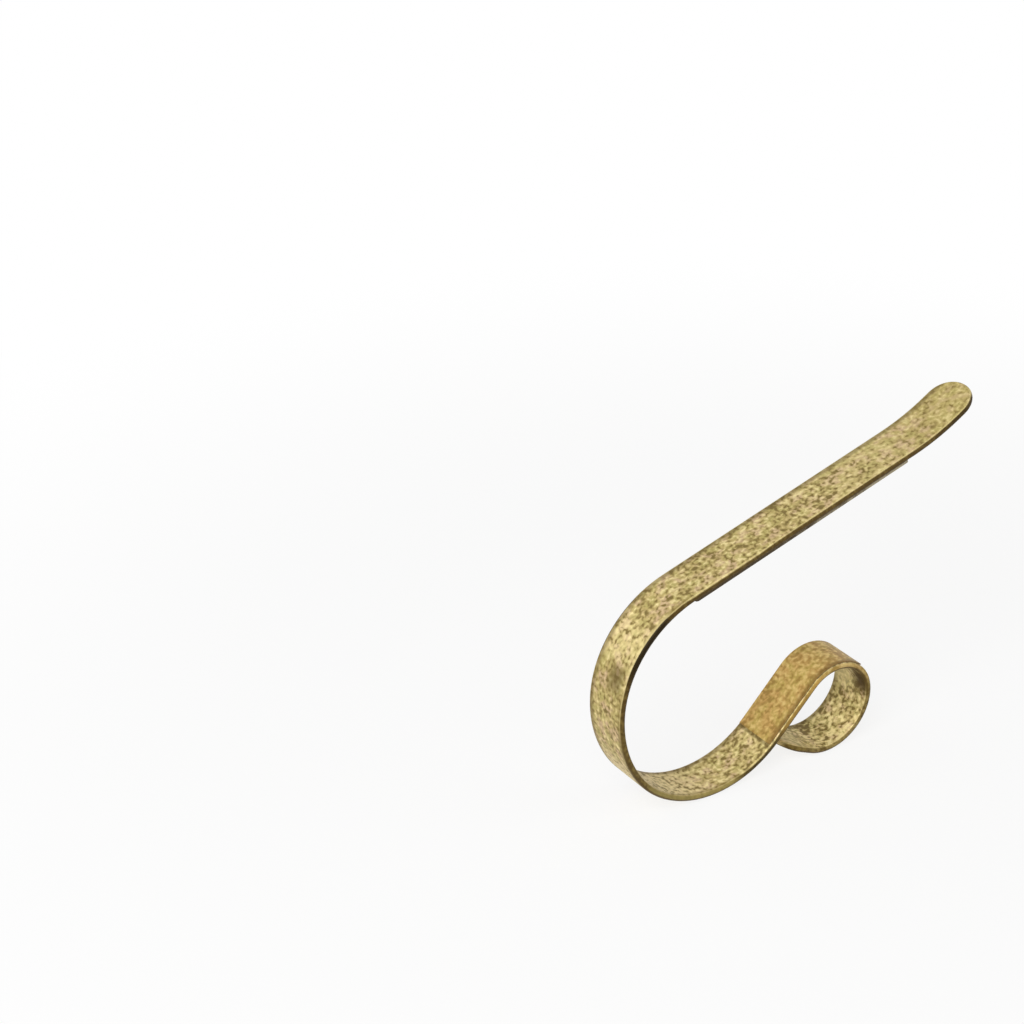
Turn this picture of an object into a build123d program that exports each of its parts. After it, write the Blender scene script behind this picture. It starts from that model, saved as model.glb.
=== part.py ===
"""Mantel stocking holder: one flat strip bent into a clip, with a soft pad under its arm and a film over its crest.

The arm lies on the shelf, the crest presses up under it, and the stocking hangs in the belly at the front.
Millimetres. +X runs from the front bend to the arm's tip, +Y across the strip and +Z up. The holder stands
on its belly and its scroll, and the origin is on that surface, under the middle of the holder's box.
"""
import math
import os

from build123d import *

# Strip stock
strip_width = 12.7
strip_thickness = 1.6
edge_break = 0.45
end_flat = 0.2

# Bends of the strip's middle line, from the arm's tip to the scroll's tail, with angles in degrees
tip_length = 7.4
flare_radius = 59.0
flare_angle = 14.7
arm_length = 66.7
shoulder_radius = 27.4
shoulder_angle = 72.0
front_radius = 31.6
front_angle = 34.8
belly_radius = 26.2
belly_angle = 102.6
rise_length = 15.4
crest_radius = 10.2
crest_angle = 132.6
scroll_radius = 12.1
scroll_angle = 118.0
tail_length = 9.5

# Pads on the strip's inner side, which faces the shelf
arm_pad_setback = 1.8
arm_pad_length = 64.5
arm_pad_thickness = 0.7
crest_pad_lead = 17.5
crest_pad_length = 33.0
crest_pad_thickness = 0.4

# Sizes that follow
inner_side = strip_thickness / 2
outer_side = -inner_side
end_radius = (strip_width - end_flat) / 2
pad_width = strip_width - 2 * edge_break


def straight(length):
    """A straight stretch of the strip, as its length and its turn."""
    return length, 0.0


def bend(radius, turn):
    """A bent stretch of the strip, as its length and its turn, which is positive to the inner side."""
    return radius * math.radians(abs(turn)), turn


strip_run = {
    "tip": straight(tip_length),
    "flare": bend(flare_radius, -flare_angle),
    "arm": straight(arm_length),
    "shoulder": bend(shoulder_radius, shoulder_angle),
    "front": bend(front_radius, front_angle),
    "belly": bend(belly_radius, belly_angle),
    "rise": straight(rise_length),
    "crest": bend(crest_radius, -crest_angle),
    "scroll": bend(scroll_radius, -scroll_angle),
    "tail": straight(tail_length),
}

# The strip is drawn with its arm level, from the tip at the right
tip_place = Vector(0, 0)
tip_tangent = Vector(-1, 0).rotate(Axis.Z, flare_angle)


def distance_to(name):
    """Distance along the strip from its tip to the start of a named stretch."""
    names = list(strip_run)
    return sum(strip_run[earlier][0] for earlier in names[: names.index(name)])


def cut_run(run, first, length):
    """The stretches of a run between a distance from its start and that distance plus a length."""
    kept = []
    passed = 0.0
    for stretch, turn in run:
        low = max(first - passed, 0.0)
        high = min(first + length - passed, stretch)
        if high > low:
            kept.append((high - low, turn * (high - low) / stretch))
        passed += stretch
    return kept


def draw_run(run, start, tangent, shift):
    """Draws a run as lines and tangent arcs, shifted from the middle line to the strip's inner side."""
    place = start + tangent.rotate(Axis.Z, 90) * shift
    drawn = []
    for length, turn in run:
        if turn:
            radius = length / math.radians(abs(turn)) - shift * math.copysign(1, turn)
            piece = JernArc(start=place, tangent=tangent, radius=radius, arc_size=turn)
        else:
            piece = Line(place, place + tangent * length)
        drawn.append(piece)
        place = piece @ 1
        tangent = piece % 1
    return drawn


def layer_outline(run, start, tangent, low, high):
    """The closed outline of a layer that follows a run between two shifts."""
    with BuildLine() as outline:
        low_side = draw_run(run, start, tangent, low)
        high_side = draw_run(run, start, tangent, high)
        Line(low_side[0] @ 0, high_side[0] @ 0)
        Line(low_side[-1] @ 1, high_side[-1] @ 1)
    return outline.edges()


def pad_outline(first, length, thickness):
    """The closed outline of a pad on the inner side, from a distance along the strip."""
    run = list(strip_run.values())
    with BuildLine():
        before = draw_run(cut_run(run, 0.0, first), tip_place, tip_tangent, 0.0)[-1]
    return layer_outline(cut_run(run, first, length), before @ 1, before % 1, inner_side, inner_side + thickness)


strip_outline = layer_outline(list(strip_run.values()), tip_place, tip_tangent, outer_side, inner_side)

with BuildLine() as middle_line:
    middle = dict(zip(strip_run, draw_run(strip_run.values(), tip_place, tip_tangent, 0.0)))

with BuildSketch() as level_profile:
    make_face(strip_outline)

# The surface it stands on touches the belly and the scroll from below, and its slope is the tilt to take out
between = middle["scroll"].arc_center - middle["belly"].arc_center
rise_of_centres = math.degrees(math.atan2(between.Y, between.X))
lean_of_surface = math.degrees(math.asin((scroll_radius - belly_radius) / between.length))
stand_tilt = lean_of_surface - rise_of_centres
stand_box = level_profile.sketch.rotate(Axis.Z, stand_tilt).bounding_box()
stand_plane = Plane(
    origin=(-stand_box.center().X, 0, -stand_box.min.Y),
    x_dir=Vector(1, 0, 0).rotate(Axis.Y, -stand_tilt),
    z_dir=-Vector(Axis.Y.direction),
)

# Bent strip: the ends are cut round, and the broken edge runs right round both faces from the arm
with BuildPart() as bent_strip:
    with BuildSketch(stand_plane):
        make_face(strip_outline)
    extrude(amount=strip_width / 2, both=True)
    fillet(bent_strip.edges().filter_by(lambda edge: math.isclose(edge.length, strip_thickness)), radius=end_radius)
    chamfer(bent_strip.edges().filter_by(lambda edge: math.isclose(edge.length, arm_length)), length=edge_break)
bent_strip.part.label = "bent_strip"

# Grip pad under the arm, on its straight stretch
with BuildPart() as arm_grip_pad:
    with BuildSketch(stand_plane):
        make_face(pad_outline(distance_to("arm") + arm_pad_setback, arm_pad_length, arm_pad_thickness))
    extrude(amount=pad_width / 2, both=True)
arm_grip_pad.part.label = "arm_grip_pad"

# Grip film up the rise and over the crest
with BuildPart() as crest_grip_pad:
    with BuildSketch(stand_plane):
        make_face(pad_outline(distance_to("crest") - crest_pad_lead, crest_pad_length, crest_pad_thickness))
    extrude(amount=pad_width / 2, both=True)
crest_grip_pad.part.label = "crest_grip_pad"

os.makedirs("parts", exist_ok=True)
export_step(bent_strip.part, "parts/bent_strip.step")
export_step(arm_grip_pad.part, "parts/arm_grip_pad.step")
export_step(crest_grip_pad.part, "parts/crest_grip_pad.step")
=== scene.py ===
"""Finishes the mantel stocking holder and sets its stage.

The bent strip gets antique gold leaf, the arm's pad smoky vinyl and the crest's film amber vinyl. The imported
solids are the frame. The strip's broken edges are rounded here, and both pads get soft edges.
Right and left are as seen from the front bend, so the strip's right edge is at -Y and its left edge at +Y.
"""
import math

import bpy
from mathutils import Color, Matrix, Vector
from mathutils.bvhtree import BVHTree


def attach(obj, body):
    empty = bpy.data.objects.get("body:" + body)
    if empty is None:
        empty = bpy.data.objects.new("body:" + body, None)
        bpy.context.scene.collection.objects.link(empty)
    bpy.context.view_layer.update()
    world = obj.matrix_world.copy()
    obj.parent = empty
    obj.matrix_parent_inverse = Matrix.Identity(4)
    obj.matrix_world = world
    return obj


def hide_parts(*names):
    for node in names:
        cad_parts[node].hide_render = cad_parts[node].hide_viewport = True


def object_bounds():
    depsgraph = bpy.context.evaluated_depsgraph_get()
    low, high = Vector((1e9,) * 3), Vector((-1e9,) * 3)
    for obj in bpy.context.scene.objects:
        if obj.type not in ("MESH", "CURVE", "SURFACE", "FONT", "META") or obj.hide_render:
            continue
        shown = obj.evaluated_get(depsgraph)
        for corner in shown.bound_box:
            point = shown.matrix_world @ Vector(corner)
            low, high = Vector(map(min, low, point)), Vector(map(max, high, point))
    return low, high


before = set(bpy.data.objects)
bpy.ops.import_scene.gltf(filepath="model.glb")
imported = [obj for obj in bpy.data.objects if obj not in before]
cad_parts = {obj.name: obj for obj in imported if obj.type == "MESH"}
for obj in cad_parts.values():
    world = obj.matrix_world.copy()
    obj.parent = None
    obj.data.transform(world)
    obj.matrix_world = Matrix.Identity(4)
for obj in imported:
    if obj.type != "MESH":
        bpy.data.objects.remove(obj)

bl_info = {
    "name": "Mantel Stocking Holder",
    "version": (1, 0, 0),
    "blender": (4, 5, 0),
    "location": "3D View > Sidebar > Holder",
    "description": "Finishes a mantel stocking holder bent from one strip and sets its studio",
    "category": "Object",
}

MM = 0.001
CAD_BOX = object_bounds()
VINYL_IOR = 1.53

# Sockets of a Mix node that mixes colours, which share their names with its other sockets
MIX_FACTOR = 0
MIX_BASE = 6
MIX_COAT = 7
MIX_RESULT = 2

# Limits on the strip, each an axis, where it starts and where it is whole, in millimetres
BELOW_ARM = ("Z", 30, 26)
RIGHT_EDGE = ("Y", -4.7, -5.6)
LEFT_EDGE = ("Y", 4.1, 5.2)

# Lamps: name, place from the holder's middle in millimetres, and the setting that holds the power
LAMPS = (
    ("key_lamp", (-600, -350, 600), "key_power"),
    ("fill_lamp", (500, -580, 450), "fill_power"),
    ("back_lamp", (-500, 600, 450), "back_power"),
)


def linear(hex_colour):
    """An sRGB hex colour as linear red, green and blue."""
    parts = [int(hex_colour[place:place + 2], 16) / 255 for place in (1, 3, 5)]
    return tuple(part / 12.92 if part <= 0.04045 else ((part + 0.055) / 1.055) ** 2.4 for part in parts)


def colour(name, description, hex_colour):
    """A colour property with its default as an sRGB hex value."""
    return bpy.props.FloatVectorProperty(
        name=name, description=description, subtype="COLOR", size=3, min=0, max=1, default=linear(hex_colour))


def length(name, description, millimetres):
    """A length property with its default in millimetres."""
    return bpy.props.FloatProperty(
        name=name, description=description, subtype="DISTANCE", unit="LENGTH", precision=5,
        default=millimetres * MM)


def angle(name, description, degrees):
    """An angle property with its default in degrees."""
    return bpy.props.FloatProperty(
        name=name, description=description, subtype="ANGLE", unit="ROTATION", default=math.radians(degrees))


def power(name, description, watts):
    """A lamp's power as a property, with its default in watts."""
    return bpy.props.FloatProperty(
        name=name, description=description, subtype="POWER", unit="POWER", min=0, default=watts)


def share(name, description, default):
    """A property from 0 to 1."""
    return bpy.props.FloatProperty(
        name=name, description=description, subtype="FACTOR", min=0, max=1, default=default)


class StripSettings(bpy.types.PropertyGroup):
    """The bent strip's rounded edge and its antique gold leaf."""

    edge_round: length("Edge round", "How far each side of a broken edge is rounded", 0.26)
    leaf: colour("Leaf", "Plain gold leaf", "#c2ad70")
    # Pale leaf also gives the painted reflection at the belly's start
    pale_leaf_and_reflection: colour("Pale leaf", "Leaf rubbed thin, paler and a little pink", "#cdb087")
    green_leaf: colour("Green leaf", "Thick leaf, a greener gold", "#bcad6a")
    # Bright leaf also gives the painted highlights on the belly, the bend, the upper edges and the curl
    bright_leaf_and_highlight: colour("Bright leaf", "Leaf that stands proud and was rubbed bright", "#f0dea0")
    olive_wash: colour("Olive wash", "Thin antiquing wash over the leaf", "#94814b")
    # Brown wash also gives the painted shade along the left edge and at the film's lower end
    brown_wash_and_shade: colour("Brown wash", "Antiquing wash in the leaf's wrinkles", "#6b5930")
    # Edge wash also gives the painted shade on edges that face down and in the curl's top
    edge_wash_and_shade: colour("Edge wash", "Wash that collects on the strip's sides", "#54411c")
    bend_wash: colour("Bend wash", "Thick dark wash on the sides of the front bend", "#1d1507")
    # Edge leaf also gives the painted shade along the right edge at shoulder, front and belly
    edge_leaf_and_shade: colour("Edge leaf", "Leaf that shows through on the strip's sides", "#867239")
    amber_leaf: colour("Amber leaf", "Leaf stained amber on the sides of the rise and the crest", "#b8934a")
    wrinkle_size: length("Wrinkle size", "Spacing of the leaf's fine wrinkles", 1.0)
    mottle_size: length("Mottle size", "Spacing of the mottles in the wash", 2.4)
    patch_size: length("Patch size", "Spacing of the changes in the leaf's tone", 9.0)
    tint_size: length("Tint size", "Spacing of the changes in the leaf's hue", 2.8)
    wrinkle_depth: length("Wrinkle depth", "Depth of the leaf's fine wrinkles", 0.05)
    metal: share("Metal", "How much the leaf shines as metal", 0.3)
    lacquer: share("Lacquer", "How much clear lacquer lies over the leaf", 0.12)


class ArmPadSettings(bpy.types.PropertyGroup):
    """The soft pad under the arm."""

    edge_round: length("Edge round", "Rounding of the pad's edges", 0.2)
    corner_round: length("Corner round", "Rounding of the pad's four corners", 0.8)
    smoke: colour("Smoke", "The vinyl's own colour", "#4a3c24")
    bloom: colour("Bloom", "Paler bloom on handled vinyl", "#a99d80")
    bloom_size: length("Bloom size", "Spacing of the clouds in the bloom", 4.0)
    grain_size: length("Grain size", "Spacing of the vinyl's moulded grain", 0.5)
    grain_depth: length("Grain depth", "Depth of the vinyl's moulded grain", 0.03)


class CrestFilmSettings(bpy.types.PropertyGroup):
    """The amber film over the crest."""

    edge_round: length("Edge round", "Rounding of the film's upper edges", 0.12)
    glue: length("Glue", "Thickness of the glue under the film", 0.06)
    amber: colour("Amber", "The film over plain leaf", "#c5a660")
    # Deep amber also gives the painted shade over the crest's top
    deep_amber_and_shade: colour("Deep amber", "The film over washed leaf", "#94743a")
    pale_amber: colour("Pale amber", "The film over bright leaf", "#dfc27c")
    warm_amber: colour("Warm amber", "The film over thin leaf", "#c6a05f")
    green_amber: colour("Green amber", "The film over thick leaf", "#c1a75c")
    amber_edge: colour("Amber edge", "The film seen through its edge", "#6e5222")
    wrinkle_depth: length("Wrinkle depth", "Depth of the leaf's wrinkles as they show through the film", 0.03)


class StageSettings(bpy.types.PropertyGroup):
    """The floor, the light and the camera."""

    floor_size: length("Floor size", "Side of the square floor", 6000)
    floor_white: colour("Floor white", "Matt white floor", "#fbfbfa")
    floor_glow: share("Floor glow", "How far the floor's shadow is lightened around the holder", 0.82)
    shadow_reach: length("Shadow reach", "How far from the middle the floor keeps its shadow", 110)
    white_reach: length("White reach", "How far from the middle the floor is all white", 330)
    camera_aim: bpy.props.FloatVectorProperty(
        name="Camera aim", description="Place in the middle of the picture",
        subtype="TRANSLATION", unit="LENGTH", default=(-48.8 * MM, 43.7 * MM, 61.5 * MM))
    camera_turn: angle("Camera turn", "Turn of the camera from the strip's right side to its front", 33.39)
    camera_rise: angle("Camera rise", "Angle of the camera above the horizon", 27.8)
    camera_distance: length("Camera distance", "From the aim to the camera", 614.8)
    camera_lens: bpy.props.FloatProperty(
        name="Camera lens", description="Focal length on a sensor 36 mm wide",
        subtype="DISTANCE_CAMERA", unit="CAMERA", default=91.33)
    sky: share("Sky", "Strength of the even light from all round", 0.36)
    lamp_size: length("Lamp size", "Side of each square lamp", 600)
    key_power: power("Key power", "Power of the lamp on the right of the front", 4.8)
    fill_power: power("Fill power", "Power of the lamp on the right of the tip", 1.2)
    back_power: power("Back power", "Power of the lamp on the left of the front", 0.9)


def add_node(tree, kind, inputs, **settings):
    """Adds a node with its settings, and gives its inputs their values, colours or links."""
    node = tree.nodes.new(kind)
    for name, value in settings.items():
        setattr(node, name, value)
    for name, value in inputs.items():
        if isinstance(value, bpy.types.NodeSocket):
            tree.links.new(value, node.inputs[name])
        elif isinstance(value, Color):
            node.inputs[name].default_value = (*value, 1.0)
        else:
            node.inputs[name].default_value = value
    return node


def new_material(name):
    """A node material without nodes, and its node tree."""
    material = bpy.data.materials.new(name)
    material.use_nodes = True
    material.node_tree.nodes.clear()
    return material, material.node_tree


def total(tree, start, terms):
    """A start value plus each term times its share."""
    for term, part in terms:
        inputs = {0: term, 1: part, 2: start}
        start = add_node(tree, "ShaderNodeMath", inputs, operation="MULTIPLY_ADD").outputs[0]
    return start


def zone(tree, along, *limits, most=1.0):
    """How far a place is within all the limits, from 0 to the most it may be."""
    for axis, start, whole in limits:
        reached = add_node(tree, "ShaderNodeMapRange", {
            "Value": along[axis], "From Min": start * MM, "From Max": whole * MM},
            interpolation_type="SMOOTHSTEP").outputs["Result"]
        most = add_node(tree, "ShaderNodeMath", {0: reached, 1: most}, operation="MULTIPLY").outputs[0]
    return most


def coats(tree, base, layers):
    """A base colour with coats over it, each with how much it covers."""
    for cover, coat in layers:
        inputs = {MIX_FACTOR: cover, MIX_BASE: base, MIX_COAT: coat}
        base = add_node(tree, "ShaderNodeMix", inputs, data_type="RGBA").outputs[MIX_RESULT]
    return base


def leaf_wrinkles(tree, place, leaf):
    """The fine wrinkles of the gold leaf."""
    return add_node(tree, "ShaderNodeTexNoise", {
        "Vector": place, "Scale": 1 / leaf.wrinkle_size, "Detail": 0.6, "Roughness": 0.5,
        "Distortion": 0.35}).outputs["Fac"]


def leaf_pattern(tree, place, leaf):
    """The wrinkles, mottles, patches and tints of the gold leaf."""
    mottles = add_node(tree, "ShaderNodeTexNoise", {
        "Vector": place, "Scale": 1 / leaf.mottle_size, "Detail": 3.0, "Roughness": 0.6,
        "Distortion": 0.8}).outputs["Fac"]
    patches = add_node(tree, "ShaderNodeTexNoise", {
        "Vector": place, "Scale": 1 / leaf.patch_size, "Detail": 2.0, "Roughness": 0.5,
        "Distortion": 0.4}).outputs["Fac"]
    tints = add_node(tree, "ShaderNodeTexNoise", {
        "Vector": place, "Scale": 1 / leaf.tint_size, "Detail": 1.0}).outputs["Fac"]
    return leaf_wrinkles(tree, place, leaf), mottles, patches, tints


def strip_stretches(tree, along):
    """How far a place is on each stretch of the strip that was handled, rubbed or washed in its own way."""
    return {
        "tip": zone(tree, along, ("X", 34, 44)),
        "arm_back": zone(tree, along, ("X", -6, 14), ("X", 36, 26)),
        "arm_front": zone(tree, along, ("X", -8, -14), ("X", -36, -32), ("Z", 46, 52)),
        "bend_top": zone(tree, along, ("X", -38, -43), ("Z", 41, 44), ("Z", 53, 49)),
        "bend": zone(tree, along, ("X", -37, -41), ("Z", 36, 44)),
        "belly_start": zone(tree, along, ("X", -20, -34), ("Z", 20, 12)),
        "belly_floor": zone(tree, along, ("X", -14, -20), ("X", -46, -41), ("Z", 14, 8)),
        "belly_end": zone(tree, along, ("X", -19, -13), ("X", -2, -7), ("Z", 16, 10)),
        "rise": zone(tree, along, ("X", -6, -2), ("X", 10, 5), ("Z", 8, 11), BELOW_ARM),
        "crest": zone(tree, along, ("X", 2, 8), ("Z", 14, 20), BELOW_ARM),
        "curl": zone(tree, along, ("X", 2, 8), BELOW_ARM),
        "tail": zone(tree, along, ("X", -6, -3), ("X", 10, 4), ("Z", 9, 6)),
    }


def leaf_tone(tree, whole, along, stretch):
    """The leaf's tone, from washed to rubbed: plainest at the tip and bend, and strongest in the curl."""
    handled = zone(tree, along, ("X", 0, 44))
    pulled = zone(tree, along, ("X", -34, -46))
    reach = total(tree, 0.145, (
        (handled, 0.08), (pulled, 0.04), (stretch["belly_start"], 0.03), (stretch["curl"], -0.05)))
    return add_node(tree, "ShaderNodeMapRange", {
        "Value": whole, "From Min": total(tree, 0.5, ((reach, -1.0),)),
        "From Max": total(tree, 0.5, ((reach, 1.0),))}).outputs["Result"]


def leaf_face(tree, look, tone, tints, along, facing, stretch):
    """The colour of the strip's faces: leaf, the wash in its wrinkles, and the marks of making and use."""
    thin = add_node(tree, "ShaderNodeMapRange", {
        "Value": tints, "From Min": 0.5, "From Max": 0.66}, interpolation_type="SMOOTHSTEP").outputs["Result"]
    thick = add_node(tree, "ShaderNodeMapRange", {
        "Value": tints, "From Min": 0.5, "From Max": 0.34}, interpolation_type="SMOOTHSTEP").outputs["Result"]
    washed = add_node(tree, "ShaderNodeMapRange", {
        "Value": tone, "From Min": 0.5, "From Max": 0.2}).outputs["Result"]
    specked = add_node(tree, "ShaderNodeMapRange", {
        "Value": tone, "From Min": 0.34, "From Max": 0.0, "To Max": 0.5},
        interpolation_type="SMOOTHSTEP").outputs["Result"]
    rubbed = add_node(tree, "ShaderNodeMapRange", {
        "Value": tone, "From Min": 0.55, "From Max": 1.0}).outputs["Result"]
    tip_green = total(tree, 0.0, ((stretch["tip"], 0.5),))
    # Painted reflection at the belly's start, and painted highlights there, on the bend's top, the belly's end
    # and the arm's back
    belly_painted_reflection = total(tree, 0.0, ((stretch["belly_start"], 0.75),))
    painted_highlights = total(tree, 0.0, (
        (stretch["belly_start"], 0.55), (stretch["belly_end"], 0.15), (stretch["bend_top"], 0.35),
        (stretch["arm_back"], 0.15)))

    # Painted shade along the left edge and along the right one at shoulder, front and belly, and a painted
    # glint on the bend
    left_edge_painted_shade = zone(tree, along, LEFT_EDGE, most=0.6)
    front_rim_painted_shade = zone(tree, along, RIGHT_EDGE, ("X", -14, -20), ("Z", 40, 32), most=0.6)
    shoulder_rim_painted_shade = zone(tree, along, RIGHT_EDGE, ("X", -31, -35), ("Z", 47, 51), most=0.75)
    bend_glint = zone(tree, along, RIGHT_EDGE, ("X", -37, -41), ("Z", 36, 44), most=0.6)

    # On faces that look forward: painted shade at the film's lower end, a smudge on the bend, and painted
    # shade and a painted highlight inside the curl
    forward = add_node(tree, "ShaderNodeMapRange", {
        "Value": facing["X"], "From Min": -0.15, "From Max": -0.5}).outputs["Result"]
    film_end = min(corner.co.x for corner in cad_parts["crest_grip_pad"].data.vertices) / MM
    # Painted shade in a line on the strip just past the film's lower end
    film_end_shade_mask = zone(
        tree, along, ("X", film_end - 0.5, film_end - 0.1), ("X", film_end + 0.5, film_end + 0.1), BELOW_ARM,
        most=forward)
    film_end_painted_shade = total(tree, 0.0, ((film_end_shade_mask, 0.6),))
    smudged = zone(
        tree, along, ("X", -44, -46), ("Y", -5.5, -3.5), ("Y", 1.5, -1), ("Z", 34.5, 38), ("Z", 43, 41),
        most=forward)
    smudge = total(tree, 0.0, ((smudged, 0.65),))
    # Painted shade in the top of the curl
    curl_top_painted_shade = zone(tree, along, ("X", 18, 21), ("Z", 10, 15), BELOW_ARM, ("Y", 0, -4), most=forward)
    # Painted highlight on the curl's left inside and on the tail
    curl_left = zone(tree, along, ("X", 15, 19), ("Z", 9, 14), BELOW_ARM, ("Y", -3, 2), most=forward)
    curl_painted_highlight = total(tree, 0.0, ((curl_left, 0.65), (stretch["tail"], 0.35)))

    return coats(tree, look.leaf, (
        (thin, look.pale_leaf_and_reflection),
        (thick, look.green_leaf),
        (tip_green, look.green_leaf),
        (belly_painted_reflection, look.pale_leaf_and_reflection),
        (painted_highlights, look.bright_leaf_and_highlight),
        (washed, look.olive_wash),
        (specked, look.brown_wash_and_shade),
        (rubbed, look.bright_leaf_and_highlight),
        (left_edge_painted_shade, look.brown_wash_and_shade),
        (front_rim_painted_shade, look.edge_leaf_and_shade),
        (shoulder_rim_painted_shade, look.edge_leaf_and_shade),
        (bend_glint, look.bright_leaf_and_highlight),
        (film_end_painted_shade, look.brown_wash_and_shade),
        (smudge, look.brown_wash_and_shade),
        (curl_painted_highlight, look.bright_leaf_and_highlight),
        (curl_top_painted_shade, look.edge_wash_and_shade),
    ))


def strip_side(tree, look, whole, height, face, stretch):
    """The colour of the strip's sides: wash on the arm and bend, leaf lower down, amber on rise and crest."""
    uneven = add_node(tree, "ShaderNodeMapRange", {
        "Value": whole, "From Min": 0.4, "From Max": 0.6, "To Min": 0.35, "To Max": -0.3}).outputs["Result"]
    covered = add_node(tree, "ShaderNodeMath", {
        0: height, 1: uneven}, operation="ADD", use_clamp=True).outputs[0]
    dark = total(tree, 0.0, ((stretch["bend"], 0.95), (stretch["tip"], 0.5), (stretch["belly_end"], 0.6)))
    bare = total(tree, 0.0, ((stretch["curl"], 0.12), (stretch["crest"], 0.55)))
    gilt = total(tree, 0.0, ((stretch["rise"], 0.55), (stretch["crest"], 0.55)))
    belly_gilt = total(tree, 0.0, ((stretch["belly_floor"], 0.4),))
    return coats(tree, look.edge_leaf_and_shade, (
        (covered, look.edge_wash_and_shade),
        (dark, look.bend_wash),
        (bare, face),
        (gilt, look.amber_leaf),
        (belly_gilt, look.green_leaf),
    ))


def antique_gold_leaf(look):
    """Gold leaf on a steel strip, rubbed with a brown wash, so it is a dull pale gold full of dark wrinkles.

    The leaf is pinker where it is thin and greener where it is thick. The wash is thick on the strip's sides,
    most of all on the front bend. Painted shade darkens the edges of its faces and the edges that face down.
    """
    material, tree = new_material("antique_gold_leaf")
    place = add_node(tree, "ShaderNodeTexCoord", {}).outputs["Object"]
    along = add_node(tree, "ShaderNodeSeparateXYZ", {"Vector": place}).outputs
    normal = add_node(tree, "ShaderNodeNewGeometry", {}).outputs["Normal"]
    facing = add_node(tree, "ShaderNodeSeparateXYZ", {"Vector": normal}).outputs
    wrinkles, mottles, patches, tints = leaf_pattern(tree, place, look)
    stretch = strip_stretches(tree, along)

    # The mottles grow to blotches in the curl
    blotches = total(tree, -0.15, ((mottles, 0.3),))
    whole = total(tree, 0.0, (
        (wrinkles, 0.52), (mottles, 0.32), (patches, 0.16), (blotches, stretch["curl"])))
    tone = leaf_tone(tree, whole, along, stretch)
    face = leaf_face(tree, look, tone, tints, along, facing, stretch)
    height = add_node(tree, "ShaderNodeMapRange", {
        "Value": along["Z"], "From Min": 24 * MM, "From Max": 40 * MM, "To Min": 0.5}).outputs["Result"]
    side = strip_side(tree, look, whole, height, face, stretch)

    # The rounded edges between faces and sides are rubbed bright with a painted highlight high up, and get
    # painted shade where they face down
    sideways = add_node(tree, "ShaderNodeMath", {0: facing["Y"]}, operation="ABSOLUTE").outputs[0]
    turned = total(tree, sideways, (
        (stretch["bend"], 0.3), (stretch["arm_front"], -0.2), (stretch["belly_end"], -0.2)))
    on_side = add_node(tree, "ShaderNodeMapRange", {
        "Value": turned, "From Min": 0.38, "From Max": 0.72},
        interpolation_type="SMOOTHSTEP").outputs["Result"]
    on_edge = add_node(tree, "ShaderNodeMapRange", {
        "Value": sideways, "From Min": 0.1, "From Max": 0.4},
        interpolation_type="SMOOTHSTEP").outputs["Result"]
    downward = add_node(tree, "ShaderNodeMapRange", {
        "Value": facing["Z"], "From Min": 0.05, "From Max": -0.3, "To Max": 0.85},
        interpolation_type="SMOOTHSTEP").outputs["Result"]
    downward_edge_painted_shade = add_node(tree, "ShaderNodeMath", {0: on_edge, 1: downward}, operation="MULTIPLY").outputs[0]
    high_edge = add_node(tree, "ShaderNodeMath", {0: on_edge, 1: height}, operation="MULTIPLY").outputs[0]
    # Edges high up are rubbed bright and also carry a painted highlight
    worn_edge_and_highlight = total(tree, 0.0, ((high_edge, 0.45),))
    skin = coats(tree, face, (
        (worn_edge_and_highlight, look.bright_leaf_and_highlight),
        (on_side, side),
        (downward_edge_painted_shade, look.edge_wash_and_shade),
    ))

    dullness = add_node(tree, "ShaderNodeMapRange", {
        "Value": tone, "To Min": 0.6, "To Max": 0.4}).outputs["Result"]
    relief = add_node(tree, "ShaderNodeBump", {
        "Strength": 0.35, "Distance": look.wrinkle_depth, "Height": wrinkles}).outputs["Normal"]
    shader = add_node(tree, "ShaderNodeBsdfPrincipled", {
        "Base Color": skin, "Metallic": look.metal, "Roughness": dullness, "Normal": relief,
        "Specular IOR Level": 0.45, "Specular Tint": look.olive_wash, "Coat Weight": look.lacquer,
        "Coat Roughness": 0.22})
    add_node(tree, "ShaderNodeOutputMaterial", {"Surface": shader.outputs["BSDF"]})
    return material


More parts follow.
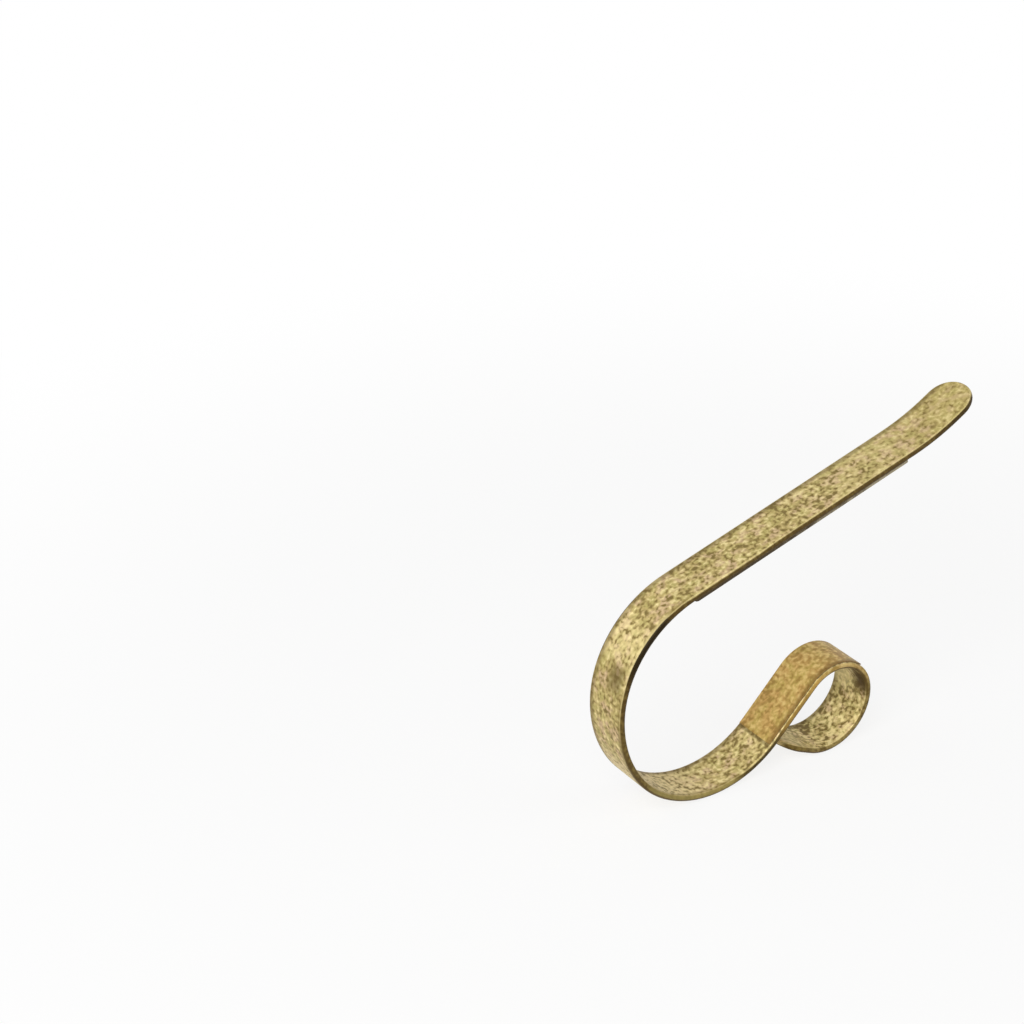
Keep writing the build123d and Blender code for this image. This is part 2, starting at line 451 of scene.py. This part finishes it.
def smoky_vinyl(look):
    """Soft moulded vinyl, smoke brown and satin, with a paler bloom that grows towards the tip."""
    material, tree = new_material("smoky_vinyl")
    place = add_node(tree, "ShaderNodeTexCoord", {}).outputs["Object"]
    along = add_node(tree, "ShaderNodeSeparateXYZ", {"Vector": place}).outputs
    clouds = add_node(tree, "ShaderNodeTexNoise", {
        "Vector": place, "Scale": 1 / look.bloom_size, "Detail": 3.0, "Roughness": 0.6}).outputs["Fac"]
    grain = add_node(tree, "ShaderNodeTexNoise", {
        "Vector": place, "Scale": 1 / look.grain_size, "Detail": 1.0}).outputs["Fac"]
    # The vinyl turns paler towards the tip
    handled = add_node(tree, "ShaderNodeMapRange", {
        "Value": along["X"], "From Min": -30 * MM, "From Max": 30 * MM,
        "To Min": -0.35, "To Max": 0.35}).outputs["Result"]
    clouded = add_node(tree, "ShaderNodeMath", {0: clouds, 1: handled}, operation="ADD").outputs[0]
    bloomed = add_node(tree, "ShaderNodeMapRange", {
        "Value": clouded, "From Min": 0.35, "From Max": 0.75},
        interpolation_type="SMOOTHSTEP").outputs["Result"]
    skin = coats(tree, look.smoke, ((bloomed, look.bloom),))
    satin = add_node(tree, "ShaderNodeMapRange", {
        "Value": clouds, "To Min": 0.55, "To Max": 0.7}).outputs["Result"]
    relief = add_node(tree, "ShaderNodeBump", {
        "Strength": 0.25, "Distance": look.grain_depth, "Height": grain}).outputs["Normal"]
    shader = add_node(tree, "ShaderNodeBsdfPrincipled", {
        "Base Color": skin, "Roughness": satin, "Normal": relief, "IOR": VINYL_IOR,
        "Specular IOR Level": 0.3})
    add_node(tree, "ShaderNodeOutputMaterial", {"Surface": shader.outputs["BSDF"]})
    return material


def amber_film(look, leaf):
    """Amber vinyl film on the gold leaf, whose mottles show through: deeper and smoother than bare leaf."""
    material, tree = new_material("amber_film")
    place = add_node(tree, "ShaderNodeTexCoord", {}).outputs["Object"]
    along = add_node(tree, "ShaderNodeSeparateXYZ", {"Vector": place}).outputs
    wrinkles, mottles, patches, tints = leaf_pattern(tree, place, leaf)
    whole = total(tree, 0.0, ((wrinkles, 0.5), (mottles, 0.28), (patches, 0.22)))
    tone = add_node(tree, "ShaderNodeMapRange", {
        "Value": whole, "From Min": 0.37, "From Max": 0.63}).outputs["Result"]
    thin = add_node(tree, "ShaderNodeMapRange", {
        "Value": tints, "From Min": 0.47, "From Max": 0.62},
        interpolation_type="SMOOTHSTEP").outputs["Result"]
    thick = add_node(tree, "ShaderNodeMapRange", {
        "Value": tints, "From Min": 0.47, "From Max": 0.34},
        interpolation_type="SMOOTHSTEP").outputs["Result"]
    dimmed = add_node(tree, "ShaderNodeMapRange", {
        "Value": tone, "From Min": 0.5, "From Max": 0.05, "To Max": 0.8}).outputs["Result"]
    lit = add_node(tree, "ShaderNodeMapRange", {
        "Value": tone, "From Min": 0.55, "From Max": 1.0}).outputs["Result"]
    # Painted shade deepens the film over the crest's top
    crest_top_painted_shade = zone(tree, along, ("X", 4, 14), most=0.3)
    # Painted shade along the film's right edge, in the colour of the film seen edge-on
    right_rim_painted_shade = zone(tree, along, ("Y", -4.2, -5.6), most=0.7)
    skin = coats(tree, look.amber, (
        (thin, look.warm_amber),
        (thick, look.green_amber),
        (crest_top_painted_shade, look.deep_amber_and_shade),
        (dimmed, look.deep_amber_and_shade),
        (lit, look.pale_amber),
        (right_rim_painted_shade, look.amber_edge),
    ))
    satin = add_node(tree, "ShaderNodeMapRange", {
        "Value": patches, "To Min": 0.36, "To Max": 0.56}).outputs["Result"]
    relief = add_node(tree, "ShaderNodeBump", {
        "Strength": 0.2, "Distance": look.wrinkle_depth, "Height": wrinkles}).outputs["Normal"]
    shader = add_node(tree, "ShaderNodeBsdfPrincipled", {
        "Base Color": skin, "Roughness": satin, "Normal": relief, "IOR": VINYL_IOR,
        "Specular Tint": look.amber})
    add_node(tree, "ShaderNodeOutputMaterial", {"Surface": shader.outputs["BSDF"]})
    return material


def amber_film_edge(look, leaf):
    """The cut edge of the amber film: dark, because the eye looks along the film there."""
    material, tree = new_material("amber_film_edge")
    place = add_node(tree, "ShaderNodeTexCoord", {}).outputs["Object"]
    skin = coats(tree, look.amber_edge, ((leaf_wrinkles(tree, place, leaf), look.deep_amber_and_shade),))
    shader = add_node(tree, "ShaderNodeBsdfPrincipled", {
        "Base Color": skin, "Roughness": 0.5, "IOR": VINYL_IOR})
    add_node(tree, "ShaderNodeOutputMaterial", {"Surface": shader.outputs["BSDF"]})
    return material


def seen_directly(tree):
    """Whether a ray comes from the camera, from a reflection or through something clear."""
    rays = add_node(tree, "ShaderNodeLightPath", {}).outputs
    seen = rays["Is Camera Ray"]
    for ray in ("Is Glossy Ray", "Is Transmission Ray"):
        seen = add_node(tree, "ShaderNodeMath", {0: seen, 1: rays[ray]}, operation="MAXIMUM").outputs[0]
    return seen


def matt_white_paper(stage):
    """Matt white paper, which keeps the holder's soft shadow and runs out into white all round."""
    material, tree = new_material("matt_white_paper")
    place = add_node(tree, "ShaderNodeTexCoord", {}).outputs["Object"]
    distance = add_node(tree, "ShaderNodeVectorMath", {0: place}, operation="LENGTH").outputs["Value"]
    fading = add_node(tree, "ShaderNodeMapRange", {
        "Value": distance, "From Min": stage.shadow_reach, "From Max": stage.white_reach,
        "To Min": stage.floor_glow}, interpolation_type="SMOOTHSTEP").outputs["Result"]
    shown = add_node(tree, "ShaderNodeMath", {
        0: seen_directly(tree), 1: fading}, operation="MULTIPLY").outputs[0]
    paper = add_node(tree, "ShaderNodeBsdfDiffuse", {"Color": stage.floor_white}).outputs[0]
    white = add_node(tree, "ShaderNodeEmission", {"Color": (1, 1, 1, 1)}).outputs[0]
    surface = add_node(tree, "ShaderNodeMixShader", {0: shown, 1: paper, 2: white}).outputs[0]
    add_node(tree, "ShaderNodeOutputMaterial", {"Surface": surface})
    return material


def copy_of_node(node, name):
    """A new piece with a CAD node's shape, its loose triangles merged and its flat faces made whole."""
    merge_distance = 0.001 * MM
    flat_angle = math.radians(0.5)
    piece = bpy.data.objects.new(name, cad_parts[node].data.copy())
    bpy.context.scene.collection.objects.link(piece)
    piece.data.materials.clear()
    bpy.ops.object.select_all(action="DESELECT")
    bpy.context.view_layer.objects.active = piece
    piece.select_set(True)
    bpy.ops.object.mode_set(mode="EDIT")
    bpy.ops.mesh.select_all(action="SELECT")
    bpy.ops.mesh.customdata_custom_splitnormals_clear()
    bpy.ops.mesh.remove_doubles(threshold=merge_distance)
    bpy.ops.mesh.mark_sharp(clear=True)
    bpy.ops.mesh.dissolve_limited(angle_limit=flat_angle)
    bpy.ops.object.mode_set(mode="OBJECT")
    return piece


def round_edges(piece, width, segments, sharper_than):
    """Rounds the edges of a piece that turn by more than some degrees, and keeps its flat faces flat."""
    bevel = piece.modifiers.new("edge round", "BEVEL")
    bevel.limit_method = "ANGLE"
    bevel.angle_limit = math.radians(sharper_than)
    bevel.width = width
    bevel.segments = segments
    even = piece.modifiers.new("even shading", "WEIGHTED_NORMAL")
    even.mode = "FACE_AREA"
    bpy.context.view_layer.objects.active = piece
    bpy.ops.object.shade_smooth()
    bpy.ops.object.modifier_apply(modifier=bevel.name)
    bpy.ops.object.modifier_apply(modifier=even.name)


def edge_length(piece, edge):
    """Length of an edge of a piece."""
    first, last = (piece.data.vertices[corner].co for corner in edge.vertices)
    return (last - first).length


def finish_piece(piece, node):
    """Lets a piece stand for its CAD node: hides the node and attaches the piece to the root body."""
    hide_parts(node)
    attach(piece, "root")


class HOLDER_OT_bent_strip(bpy.types.Operator):
    """Round the bent strip's edges and gild it"""

    bl_idname = "holder.bent_strip"
    bl_label = "Bent strip"

    def execute(self, context):
        look = context.scene.holder_strip
        piece = copy_of_node("bent_strip", "gilded_strip")
        round_edges(piece, look.edge_round, segments=3, sharper_than=30)
        piece.data.materials.append(antique_gold_leaf(look))
        finish_piece(piece, "bent_strip")
        return {"FINISHED"}


class HOLDER_OT_arm_pad(bpy.types.Operator):
    """Make the soft pad under the arm"""

    bl_idname = "holder.arm_pad"
    bl_label = "Arm pad"

    def execute(self, context):
        look = context.scene.holder_arm_pad
        piece = copy_of_node("arm_grip_pad", "arm_pad")

        # The four corners are the shortest edges, as high as the pad is thick
        corner_limit = 1.5 * min(edge_length(piece, edge) for edge in piece.data.edges)
        for edge in piece.data.edges:
            edge.select = edge_length(piece, edge) < corner_limit
        bpy.ops.object.mode_set(mode="EDIT")
        bpy.ops.mesh.select_mode(type="EDGE")
        bpy.ops.mesh.bevel(offset=look.corner_round, segments=5, affect="EDGES")
        bpy.ops.object.mode_set(mode="OBJECT")
        round_edges(piece, look.edge_round, segments=3, sharper_than=60)
        piece.data.materials.append(smoky_vinyl(look))
        finish_piece(piece, "arm_grip_pad")
        return {"FINISHED"}


class HOLDER_OT_crest_film(bpy.types.Operator):
    """Make the amber film over the crest"""

    bl_idname = "holder.crest_film"
    bl_label = "Crest film"

    def execute(self, context):
        look = context.scene.holder_crest_film
        leaf = context.scene.holder_strip
        piece = copy_of_node("crest_grip_pad", "crest_film")
        piece.data.materials.append(amber_film(look, leaf))
        piece.data.materials.append(amber_film_edge(look, leaf))

        # Faces with all corners on the strip are lifted by the glue, and those with some are the cut edge
        on_strip_reach = 0.1 * MM
        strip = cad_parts["bent_strip"].data
        strip_faces = BVHTree.FromPolygons(
            [corner.co for corner in strip.vertices], [face.vertices for face in strip.polygons])
        glued = [strip_faces.find_nearest(corner.co)[3] < on_strip_reach for corner in piece.data.vertices]
        for face in piece.data.polygons:
            on_strip = [glued[corner] for corner in face.vertices]
            face.select = all(on_strip)
            face.material_index = int(any(on_strip) and not all(on_strip))
        bpy.ops.object.mode_set(mode="EDIT")
        bpy.ops.mesh.select_mode(type="FACE")
        bpy.ops.transform.shrink_fatten(value=-look.glue)
        bpy.ops.object.mode_set(mode="OBJECT")
        round_edges(piece, look.edge_round, segments=2, sharper_than=60)
        finish_piece(piece, "crest_grip_pad")
        return {"FINISHED"}


class HOLDER_OT_stage(bpy.types.Operator):
    """Set the white floor, the soft light and the camera"""

    bl_idname = "holder.stage"
    bl_label = "Stage"

    def execute(self, context):
        stage = context.scene.holder_stage
        context.scene.view_settings.view_transform = "Standard"
        self.lay_floor(stage)
        self.light_sky(context.scene, stage)
        for name, place, power_setting in LAMPS:
            self.hang_lamp(name, Vector(place) * MM, stage.lamp_size, getattr(stage, power_setting))
        self.set_camera(context.scene, stage)
        return {"FINISHED"}

    def lay_floor(self, stage):
        """Lays the floor that the holder stands on."""
        bpy.ops.object.select_all(action="DESELECT")
        bpy.ops.mesh.primitive_plane_add(size=stage.floor_size)
        floor = bpy.context.object
        floor.name = "floor"
        floor.data.materials.append(matt_white_paper(stage))

    def light_sky(self, scene, stage):
        """Lights the holder evenly from all round, with white behind it and in its reflections."""
        world = bpy.data.worlds.new("white_sky")
        scene.world = world
        world.use_nodes = True
        tree = world.node_tree
        tree.nodes.clear()
        strength = add_node(tree, "ShaderNodeMapRange", {
            "Value": seen_directly(tree), "To Min": stage.sky}).outputs["Result"]
        sky = add_node(tree, "ShaderNodeBackground", {"Color": (1, 1, 1, 1), "Strength": strength}).outputs[0]
        add_node(tree, "ShaderNodeOutputWorld", {"Surface": sky})

    def hang_lamp(self, name, place, size, watts):
        """Hangs a square lamp that shines on the holder's middle."""
        lamp = bpy.data.lights.new(name, "AREA")
        lamp.shape = "SQUARE"
        lamp.size = size
        lamp.energy = watts
        hung = bpy.data.objects.new(name, lamp)
        bpy.context.scene.collection.objects.link(hung)
        middle = (CAD_BOX[0] + CAD_BOX[1]) / 2
        hung.location = middle + place
        hung.rotation_euler = (-place).to_track_quat("-Z", "Y").to_euler()

    def set_camera(self, scene, stage):
        """Sets the camera above the holder, on its right and towards its front."""
        data = bpy.data.cameras.new("camera")
        data.sensor_width = 36
        data.lens = stage.camera_lens
        data.clip_start = 1 * MM
        camera = bpy.data.objects.new("camera", data)
        scene.collection.objects.link(camera)
        level = math.cos(stage.camera_rise)
        back = Vector((
            -math.sin(stage.camera_turn) * level,
            -math.cos(stage.camera_turn) * level,
            math.sin(stage.camera_rise)))
        camera.location = Vector(stage.camera_aim) + back * stage.camera_distance
        camera.rotation_euler = (-back).to_track_quat("-Z", "Y").to_euler()
        scene.camera = camera


class HOLDER_PT_sidebar(bpy.types.Panel):
    """Lists the holder's pieces and settings"""

    bl_idname = "HOLDER_PT_sidebar"
    bl_label = "Mantel Stocking Holder"
    bl_space_type = "VIEW_3D"
    bl_region_type = "UI"
    bl_category = "Holder"

    def draw(self, context):
        for operator, settings, group in PIECES:
            box = self.layout.box()
            box.operator(operator.bl_idname)
            for name in group.__annotations__:
                box.prop(getattr(context.scene, settings), name)


PIECES = (
    (HOLDER_OT_bent_strip, "holder_strip", StripSettings),
    (HOLDER_OT_arm_pad, "holder_arm_pad", ArmPadSettings),
    (HOLDER_OT_crest_film, "holder_crest_film", CrestFilmSettings),
    (HOLDER_OT_stage, "holder_stage", StageSettings),
)


def register():
    """Registers the settings, the operators and the panel."""
    for operator, settings, group in PIECES:
        bpy.utils.register_class(group)
        bpy.utils.register_class(operator)
        setattr(bpy.types.Scene, settings, bpy.props.PointerProperty(type=group))
    bpy.utils.register_class(HOLDER_PT_sidebar)


def unregister():
    """Takes the panel, the operators and the settings out again."""
    bpy.utils.unregister_class(HOLDER_PT_sidebar)
    for operator, settings, group in reversed(PIECES):
        delattr(bpy.types.Scene, settings)
        bpy.utils.unregister_class(operator)
        bpy.utils.unregister_class(group)


def main():
    """Makes each piece and the stage."""
    register()
    bpy.ops.holder.bent_strip()
    bpy.ops.holder.arm_pad()
    bpy.ops.holder.crest_film()
    bpy.ops.holder.stage()


if __name__ == "__main__":
    main()
